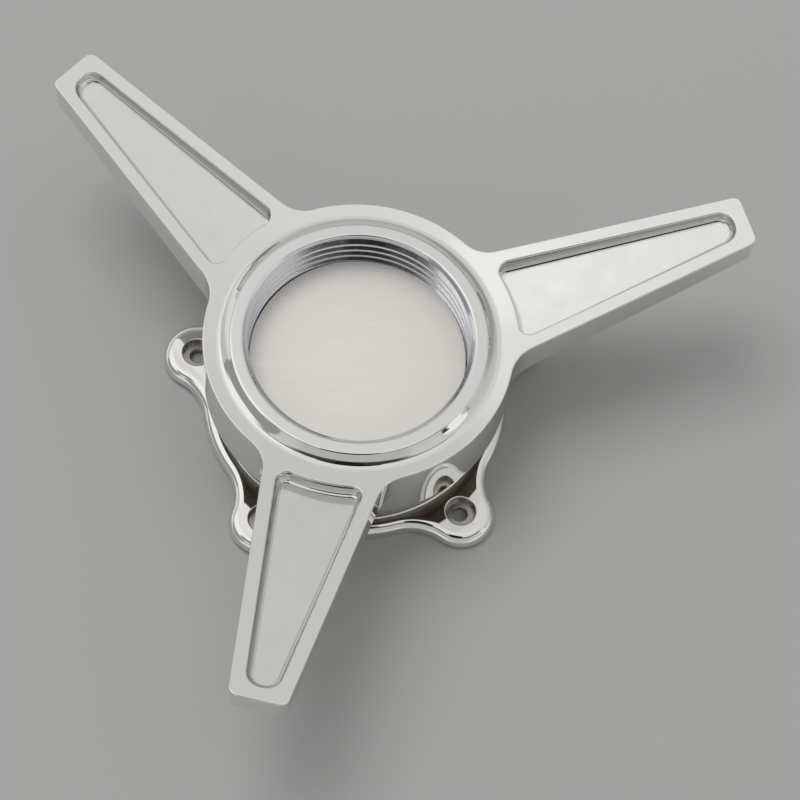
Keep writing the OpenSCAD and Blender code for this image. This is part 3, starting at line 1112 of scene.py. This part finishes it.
def add_camera_front():
    """A dark disc for the camera and its hood, which shows only in the metal's reflections"""
    deselect()
    facing = (CAMERA_AIM - CAMERA_AT).to_track_quat("Z", "Y").to_euler()
    bpy.ops.mesh.primitive_circle_add(vertices=64, radius=CAMERA_FRONT_R, fill_type="NGON",
                                      location=CAMERA_AT, rotation=facing)
    front = bpy.context.object
    front.name = "camera_front"
    front.data.materials.append(camera_black())
    front.visible_camera = False
    front.visible_diffuse = False
    front.visible_shadow = False


# Brightness of the tent's cloth at the sine of each elevation
TENT_LEVELS = ((0.2, 0.47), (0.42, 0.56), (0.65, 0.63), (0.9, 0.71), (1.0, 0.79))
# Below the first of these sines it is low cloth, and above the second it has those levels
TENT_LOW = (0.22, 0.42)
# A spot on the cloth is an azimuth and an elevation in degrees, and the cosines of the angles from there at
# which the spot begins and is full. The low cloth is bright by the lit table, and dark on this side.
TABLE_SIDE = (38, 0, 0.45, 0.85)
TABLE_LEVELS = (0.80, 0.34)
# Spots and their levels, from the lowest layer to the top one
TENT_SPOTS = (
    # The cloth nearest the lamp is brighter
    (120, 60, 0.90, 0.99, 0.86),
    # Grey paper stands on the left, and a lit panel above it
    (172, 27, 0.905, 0.915, 0.32),
    (150, 56, 0.91, 0.935, 1.0),
    # The cloth on the camera's side is in shade
    (-108, 34, 0.80, 0.90, 0.50),
    # A lit panel stands on the right, held by two dark clips
    (-36, 33, 0.988, 0.992, 0.95),
    (-44, 32, 0.9988, 0.9992, 0.04),
    (-26, 26, 0.9996, 0.9998, 0.04))
# A dark gap between two cloths runs round the camera's side, between these sines of elevation
GAP_EDGES = ((0.76, 0.79), (0.88, 0.86))
GAP_SIDE = (-108, 0, 0.07, 0.15)
GAP_LEVEL = 0.05


def cloth_tent():
    """A tent of white cloth lit from outside, as the world round the object"""
    world = bpy.data.worlds.new("cloth_tent")
    world.use_nodes = True
    tree = world.node_tree
    tree.nodes.clear()
    way = add_node(tree, "ShaderNodeTexCoord").outputs["Generated"]
    height = add_node(tree, "ShaderNodeSeparateXYZ", inputs={0: way}).outputs["Z"]

    def step(value, start, end):
        return add_node(tree, "ShaderNodeMapRange", {"interpolation_type": "SMOOTHSTEP"}, {
            "Value": value, "From Min": start, "From Max": end}).outputs["Result"]

    def near(azimuth, elevation, start, end):
        turn, rise = math.radians(azimuth), math.radians(elevation)
        toward = (math.cos(rise) * math.cos(turn), math.cos(rise) * math.sin(turn), math.sin(rise))
        node = add_node(tree, "ShaderNodeVectorMath", {"operation": "DOT_PRODUCT"}, {0: way, 1: toward})
        return step(node.outputs["Value"], start, end)

    def mixed(share, low, high):
        node = add_node(tree, "ShaderNodeMix", {"data_type": "FLOAT"}, {0: share, 2: low, 3: high})
        return node.outputs[0]

    def product(one, other):
        node = add_node(tree, "ShaderNodeMath", {"operation": "MULTIPLY"}, {0: one, 1: other})
        return node.outputs["Value"]

    ramp = add_node(tree, "ShaderNodeValToRGB", inputs={"Fac": height})
    ramp.color_ramp.interpolation = "EASE"
    stops = ramp.color_ramp.elements
    for number, (place, level) in enumerate(TENT_LEVELS):
        stop = stops[number] if number < 2 else stops.new(place)
        stop.position = place
        stop.color = (level, level, level, 1)
    low = mixed(near(*TABLE_SIDE), *TABLE_LEVELS)
    level = mixed(step(height, *TENT_LOW), low, ramp.outputs["Color"])
    for *spot, spot_level in TENT_SPOTS:
        level = mixed(near(*spot), level, spot_level)
    band = product(step(height, *GAP_EDGES[0]), step(height, *GAP_EDGES[1]))
    level = mixed(product(band, near(*GAP_SIDE)), level, GAP_LEVEL)
    shade = add_node(tree, "ShaderNodeCombineColor", inputs={"Red": level, "Green": level, "Blue": level})
    background = add_node(tree, "ShaderNodeBackground", inputs={"Color": shade.outputs["Color"]})
    add_node(tree, "ShaderNodeOutputWorld", inputs={"Surface": background.outputs["Background"]})
    return world


class CENTRECAP_OT_stage(bpy.types.Operator):
    """Set the pale floor, the soft light, the cloth tent and the camera"""
    bl_idname = "centrecap.stage"
    bl_label = "Studio"

    def execute(self, context):
        scene = context.scene
        deselect()
        bpy.ops.mesh.primitive_plane_add(size=FLOOR_W, location=(0, 0, CAD_BOX[0][2]))
        floor = context.object
        floor.name = "floor"
        floor.data.materials.append(studio_paper(scene.cap_finishes.floor))
        add_softbox()
        add_camera_front()
        scene.world = cloth_tent()
        scene.view_settings.view_transform = "Standard"
        add_camera(scene)
        return {"FINISHED"}


class CENTRECAP_PT_panel(bpy.types.Panel):
    """Lists the pieces, their sizes and the studio"""
    bl_idname = "CENTRECAP_PT_panel"
    bl_label = "Centre Cap"
    bl_space_type = "VIEW_3D"
    bl_region_type = "UI"
    bl_category = "Centre Cap"

    def draw(self, context):
        scene = context.scene
        groups = ((CENTRECAP_OT_spinner, (scene.cap_hub, scene.cap_arms)),
                  (CENTRECAP_OT_base, (scene.cap_base,)),
                  (CENTRECAP_OT_stage, (scene.cap_finishes,)))
        for operator, settings in groups:
            box = self.layout.box()
            box.operator(operator.bl_idname)
            for group in settings:
                for name in group.__annotations__:
                    box.prop(group, name)


SETTINGS = {"cap_hub": HubSizes, "cap_arms": ArmSizes, "cap_base": BaseSizes, "cap_finishes": Finishes}
CLASSES = [*SETTINGS.values(), CENTRECAP_OT_spinner, CENTRECAP_OT_base, CENTRECAP_OT_stage,
           CENTRECAP_PT_panel]


def register():
    for each in CLASSES:
        bpy.utils.register_class(each)
    for name, group in SETTINGS.items():
        setattr(bpy.types.Scene, name, PointerProperty(type=group))


def unregister():
    for name in SETTINGS:
        delattr(bpy.types.Scene, name)
    for each in reversed(CLASSES):
        bpy.utils.unregister_class(each)


def main():
    register()
    bpy.ops.centrecap.stage()
    bpy.ops.centrecap.spinner()
    bpy.ops.centrecap.base()
    bpy.context.view_layer.update()


if __name__ == "__main__":
    main()
